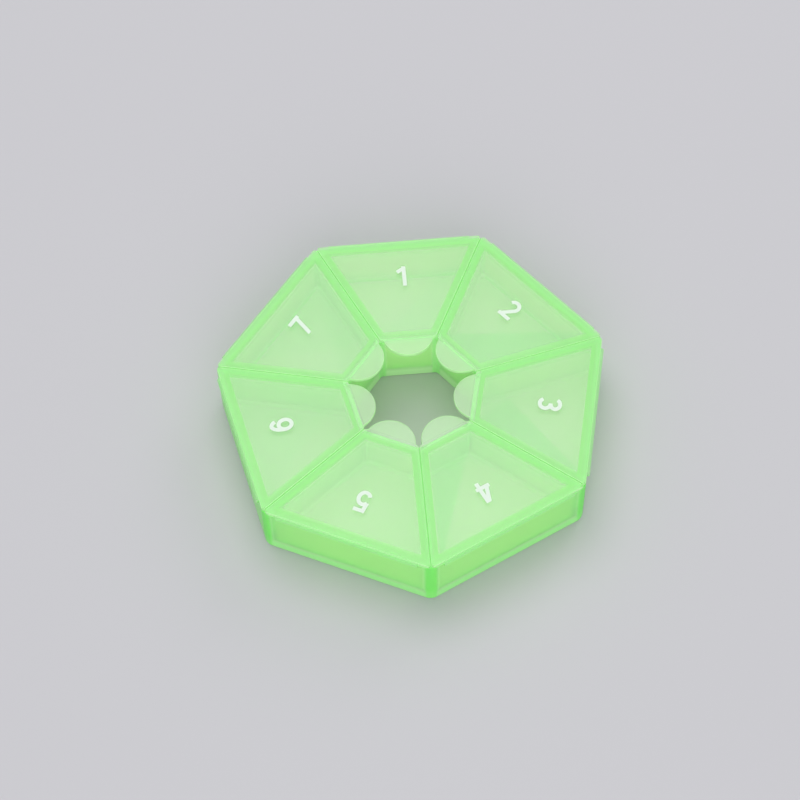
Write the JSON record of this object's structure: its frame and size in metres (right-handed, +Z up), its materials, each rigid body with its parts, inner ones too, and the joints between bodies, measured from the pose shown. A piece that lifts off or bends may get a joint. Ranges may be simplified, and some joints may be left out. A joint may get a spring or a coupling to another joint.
{
  "type": "weekly pill box",
  "caption": "Flat ring-shaped weekly pill box with wedge compartments round an open middle, each with a flip lid on a living hinge, a lifting tab and a printed numeral.",
  "frame": {"origin": "the ring's axis on its flat base", "axes": "+Z up along the ring's axis, out of the lids; +Y from the axis towards the lid with numeral one"},
  "size_m": [0.0972, 0.0953, 0.0171],
  "materials": {
    "tray_plastic": "translucent light-green polypropylene, satin",
    "lid_plastic": "translucent light-green polypropylene, satin, thinner and paler than the tray",
    "hinge_plastic": "translucent light-green polypropylene, stretched and bent, minty",
    "white_ink": "white printing ink, matte"
  },
  "bodies": {
    "tray": {"tray": "tray_plastic", "hinge_1": "hinge_plastic", "hinge_2": "hinge_plastic", "hinge_3": "hinge_plastic", "hinge_4": "hinge_plastic", "hinge_5": "hinge_plastic", "hinge_6": "hinge_plastic", "hinge_7": "hinge_plastic"},
    "lid_1": {"lid_1": "lid_plastic", "numeral_1": "white_ink"},
    "lid_2": {"lid_2": "lid_plastic", "numeral_2": "white_ink"},
    "lid_3": {"lid_3": "lid_plastic", "numeral_3": "white_ink"},
    "lid_4": {"lid_4": "lid_plastic", "numeral_4": "white_ink"},
    "lid_5": {"lid_5": "lid_plastic", "numeral_5": "white_ink"},
    "lid_6": {"lid_6": "lid_plastic", "numeral_6": "white_ink"},
    "lid_7": {"lid_7": "lid_plastic", "numeral_7": "white_ink"}
  },
  "joints": [
    {"name": "lid_1_swing", "type": "hinge", "parent": "tray", "child": "lid_1", "pos_m": [0, 0.04579, 0.016], "axis": [-1, 0, 0], "range_deg": [0, 178], "deforming": ["hinge_1"]},
    {"name": "lid_2_swing", "type": "hinge", "parent": "tray", "child": "lid_2", "pos_m": [0.0358, 0.02855, 0.016], "axis": [-0.6235, 0.7818, 0], "range_deg": [0, 178], "deforming": ["hinge_2"]},
    {"name": "lid_3_swing", "type": "hinge", "parent": "tray", "child": "lid_3", "pos_m": [0.04464, -0.01019, 0.016], "axis": [0.2225, 0.9749, 0], "range_deg": [0, 178], "deforming": ["hinge_3"]},
    {"name": "lid_4_swing", "type": "hinge", "parent": "tray", "child": "lid_4", "pos_m": [0.01987, -0.04125, 0.016], "axis": [0.901, 0.4339, 0], "range_deg": [0, 178], "deforming": ["hinge_4"]},
    {"name": "lid_5_swing", "type": "hinge", "parent": "tray", "child": "lid_5", "pos_m": [-0.01987, -0.04125, 0.016], "axis": [0.901, -0.4339, 0], "range_deg": [0, 178], "deforming": ["hinge_5"]},
    {"name": "lid_6_swing", "type": "hinge", "parent": "tray", "child": "lid_6", "pos_m": [-0.04464, -0.01019, 0.016], "axis": [0.2225, -0.9749, 0], "range_deg": [0, 178], "deforming": ["hinge_6"]},
    {"name": "lid_7_swing", "type": "hinge", "parent": "tray", "child": "lid_7", "pos_m": [-0.0358, 0.02855, 0.016], "axis": [-0.6235, -0.7818, 0], "range_deg": [0, 178], "deforming": ["hinge_7"]}
  ]
}
